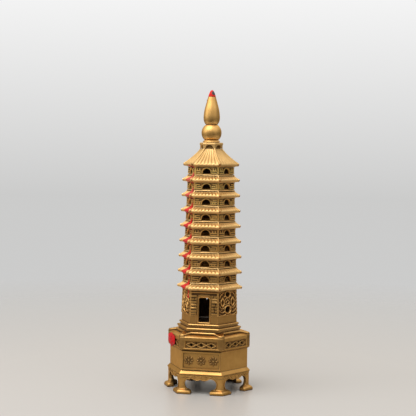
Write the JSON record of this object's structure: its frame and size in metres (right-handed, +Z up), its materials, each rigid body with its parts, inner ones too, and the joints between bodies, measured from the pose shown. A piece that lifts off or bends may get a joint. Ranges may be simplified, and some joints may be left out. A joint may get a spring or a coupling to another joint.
{
  "type": "cast metal model pagoda",
  "caption": "Desk-size cast metal model of a tall six-sided pagoda with tiled eaves, arched windows, a doorway, a pierced base block and a stand on turned-out legs",
  "frame": {"origin": "centre of the footprint, on the level that the feet stand on", "axes": "+Z up the tower; -Y is the front, with the doorway; +X points to the right-hand corner seen from the front"},
  "size_m": [0.0798, 0.0692, 0.26],
  "materials": {
    "gilt": "satin gold-coloured cast metal",
    "bronze": "darker satin gold-coloured cast metal",
    "red_paint": "glossy red paint"
  },
  "bodies": {
    "root": {"stand_rim": "bronze", "leg_1": "bronze", "leg_2": "bronze", "leg_3": "bronze", "leg_4": "bronze", "leg_5": "bronze", "leg_6": "bronze", "dado_block": "bronze", "band_frame": "bronze", "band_deck": "bronze", "lattice_panel_1": "bronze", "lattice_panel_2": "bronze", "lattice_panel_3": "bronze", "lattice_panel_4": "bronze", "lattice_panel_5": "bronze", "lattice_panel_6": "bronze", "step_1": "gilt", "step_2": "gilt", "step_3": "gilt", "storey_1_wall": "gilt", "door_frame": "gilt", "storey_2_wall": "gilt", "storey_3_wall": "gilt", "storey_4_wall": "gilt", "storey_5_wall": "gilt", "storey_6_wall": "gilt", "storey_7_wall": "gilt", "storey_8_wall": "gilt", "storey_9_wall": "gilt", "eave_1": "gilt", "eave_2": "gilt", "eave_3": "gilt", "eave_4": "gilt", "eave_5": "gilt", "eave_6": "gilt", "eave_7": "gilt", "eave_8": "gilt", "roof": "gilt", "crown_collar": "gilt", "finial_base": "gilt", "finial_ball": "gilt", "finial_brush": "gilt", "red_plaque": "red_paint", "finial_tip": "red_paint"}
  },
  "joints": []
}
